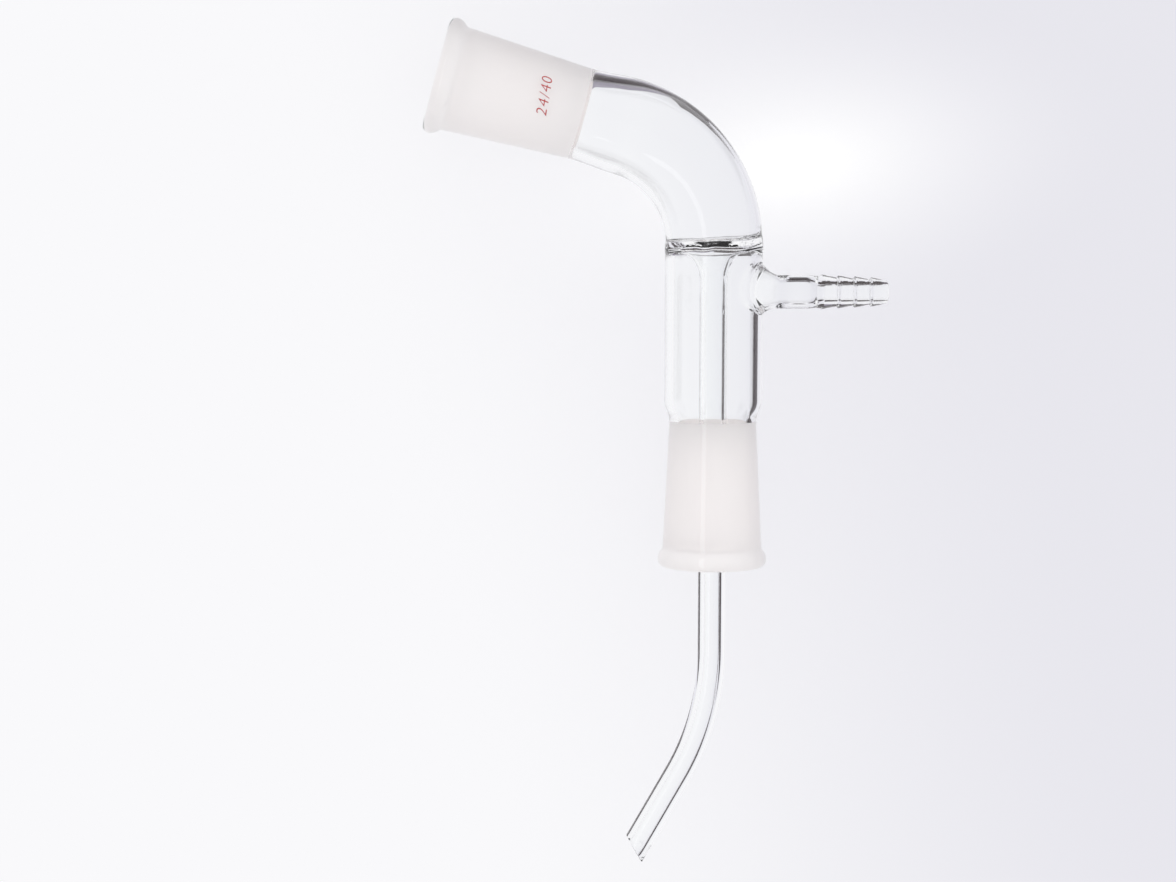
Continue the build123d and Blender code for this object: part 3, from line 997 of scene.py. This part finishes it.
red_enamel, tree, shader = new_material("red_enamel", Base_Color=(0.42, 0.02, 0.02, 1), Roughness=0.35)
speckle = object_noise(tree, (900, 900, 900), 2.0)
tree.links.new(mixed(tree, speckle, (0.36, 0.015, 0.018, 1), (0.55, 0.05, 0.05, 1)), shader["Base Color"])
numerals = linked_object("size_numerals", numerals_mesh, red_enamel)
print("numerals:", len(numerals_mesh.polygons), "faces")

# %% [markdown]
# ## The stage
# The adapter lies on a pale floor, under light that comes from all round, so there is hardly a
# shadow. Everything round it is a flat sheet that gives off its own light, as the panels of a
# photographer's table do. Not every sheet is for the camera: each can be hidden from the kinds
# of light ray that shouldn't meet it.

# %% Sky
world = bpy.data.worlds.new("studio")
bpy.context.scene.world = world
world.use_nodes = True
sky = world.node_tree.nodes["Background"].inputs
sky["Color"].default_value = (0.985, 0.985, 1.0, 1)
sky["Strength"].default_value = 1.0
print("sky strength:", sky["Strength"].default_value)


# %% Sheets and what they are made of
def flat_sheet(name, outline, height, material):
    """A level sheet, as a stage piece, from an outline in millimetres."""
    mesh = bpy.data.meshes.new(name)
    corners = [Vector((x, y, height)) * MM for x, y in outline]
    mesh.from_pydata(corners, [], [range(len(corners))])
    sheet = linked_object(name, mesh, material)
    return sheet


def hide_from(sheet, *rays):
    for ray in rays:
        setattr(sheet, "visible_" + ray, False)


def rectangle(left, right, near, far):
    return [(left, near), (right, near), (right, far), (left, far)]


def glowing(name, strength, colour=(1.0, 1.0, 1.0), base=0.0):
    """A matt material that gives off light of its own."""
    return new_material(
        name, Base_Color=(base, base, base, 1), Roughness=1.0, Specular_IOR_Level=0.0,
        Emission_Color=(*colour, 1), Emission_Strength=strength,
    )


# %% [markdown]
# ## The floor
# In the photograph the ground is nearly white at the left, fades to a cooler grey towards the
# right, and has a soft glow above the arm. A gradient on the floor's own coordinates makes the
# fade and a round one the glow. A Mapping node of the texture kind says where each lies, how
# wide it is and how it is turned.


# %% Light that fades from left to right
def placed(tree, where, turned, size):
    """The object's coordinates, seen from a spot: where it lies, how it is turned and how large it is."""
    return node(
        tree, "ShaderNodeMapping",
        {"Vector": node(tree, "ShaderNodeTexCoord", out="Object"), "Location": where,
         "Rotation": (0, 0, turned), "Scale": size},
        vector_type="TEXTURE",
    )


def fading_light(tree, left, right):
    """Bright light at x = left, in metres, that fades to a dimmer, bluer light at x = right."""
    place = placed(tree, (left, 0, 0), 0.25, (right - left, 1, 1))
    fading = node(tree, "ShaderNodeTexGradient", {"Vector": place}, gradient_type="EASING")
    return mixed(tree, fading, (0.945, 0.943, 0.962, 1), (0.785, 0.778, 0.835, 1))


# %% Floor, just under the widest bead
FLOOR_GAP = 0.02
FLOOR_HEIGHT = -(UPPER_BEAD + FLOOR_GAP)
HALF_FLOOR = 3000
pale_floor, tree, shader = glowing("pale_floor", 0.9, base=0.1)
# The floor's fade and its glow above the arm are painted light: a painted fall-off and a painted pool of
# light in its emission.
glow_place = placed(tree, (0.025, 0.115, 0.0), 0.12, (0.105, 0.05, 1.0))
glow = node(tree, "ShaderNodeTexGradient", {"Vector": glow_place}, gradient_type="QUADRATIC_SPHERE")
floor_light = mixed(tree, glow, fading_light(tree, -0.09, 0.12), (1.08, 1.08, 1.08, 1))
tree.links.new(floor_light, shader["Emission Color"])
whole_floor = rectangle(-HALF_FLOOR, HALF_FLOOR, -HALF_FLOOR, HALF_FLOOR)
floor = flat_sheet("floor", whole_floor, FLOOR_HEIGHT, pale_floor)
hide_from(floor, "transmission")
print("floor at", round(FLOOR_HEIGHT, 3), "mm")

# %% [markdown]
# ## The strip light
# Round tubes under a soft, even sky have no highlights. One long lamp to the left, high over
# the table, draws a thin bright streak along every tube. Only mirror-like reflections see it.

# %% Strip light
STRIP_HEIGHT = 900.0
strip_light, tree, shader = glowing("strip_light", 2.3)
strip = flat_sheet("strip_light", rectangle(-620, -400, -900, 1000)[::-1], STRIP_HEIGHT, strip_light)
hide_from(strip, "camera", "diffuse", "transmission", "shadow")
print("strip light at", STRIP_HEIGHT, "mm")

# %% [markdown]
# ## Light board and cards
# Clear glass on a white ground all but vanishes. A photographer lays it on a glass table, with a
# lit board some way below, and gives it an outline with black cards at the board's edges: where
# a tube bends light far enough sideways, the eye looks at a card, and a thin dark line appears.
# Here the light that has passed through the adapter goes on through the floor to such a board.
# The camera, the shadows and the floor's own light don't see the board or the cards. A card's
# edge decides how wide the dark line along one part of the glass is, so each was moved until
# its line was as wide as in the photograph. The grey card softens the line along the bend.

# %% Board
BOARD_HEIGHT = -216.0
BOARD_CARD_GAP = 1.0
lit_board, tree, shader = glowing("lit_board", 1.0)
tree.links.new(fading_light(tree, -0.08, 0.2), shader["Emission Color"])
board = flat_sheet("light_board", whole_floor, BOARD_HEIGHT, lit_board)
print("board at", BOARD_HEIGHT, "mm")

# %% Cards
black_card, *_ = glowing("black_card", 1.0, (0.03, 0.018, 0.02))
grey_card, *_ = glowing("grey_card", 1.0, (0.27, 0.24, 0.31))
CARDS = {
    "card_above": (black_card, [
        (-900, 262), (22, 262), (24, 170), (55, 158), (118, 158), (126, 240), (200, 300), (900, 310),
        (900, 1200), (-900, 1200),
    ]),
    "card_right": (black_card, [(185, -125), (900, -160), (900, 80), (180, 80)]),
    "card_below_right": (black_card, [
        (225, -205), (900, -300), (900, -1200), (330, -1200), (215, -330),
    ]),
    "card_below": (black_card, [
        (-330, -330), (-90, -240), (35, -195), (105, -235), (120, -1200), (-330, -1200),
    ]),
    "card_grey": (grey_card, rectangle(-900, 22, 203, 262)),
}
cards = [
    flat_sheet(name, outline, BOARD_HEIGHT + BOARD_CARD_GAP, material)
    for name, (material, outline) in CARDS.items()
]
for sheet in (board, *cards):
    hide_from(sheet, "camera", "diffuse", "shadow", "glossy")
print("cards:", len(cards))

# %% [markdown]
# ## How far light is followed
# The look of glass depends on how many times a ray may turn before it is given up, and a ray
# that is given up is black. On its way along the seal and the root a ray is thrown back inside
# the wall many times, and the renderer counts each of those as glossy, not as transmission. With
# its usual limit of four such bounces the seal is a black blot, and with ten it shows fine dark
# strokes with light between them. Blender also blurs glossy rays after a matt bounce, to calm
# noise. That would darken the ground glass, which sits behind a clear wall, so it is turned off.

# %% Bounces and colour
cycles = bpy.context.scene.cycles
cycles.transmission_bounces = 32
cycles.glossy_bounces = 10
cycles.diffuse_bounces = 16
cycles.max_bounces = 48
cycles.blur_glossy = 0.0
bpy.context.scene.view_settings.view_transform = "Standard"
print("bounces in all:", cycles.max_bounces)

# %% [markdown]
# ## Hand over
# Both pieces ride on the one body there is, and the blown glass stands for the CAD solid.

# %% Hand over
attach(glass, "root")
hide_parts("glass_adapter")
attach(numerals, "root")
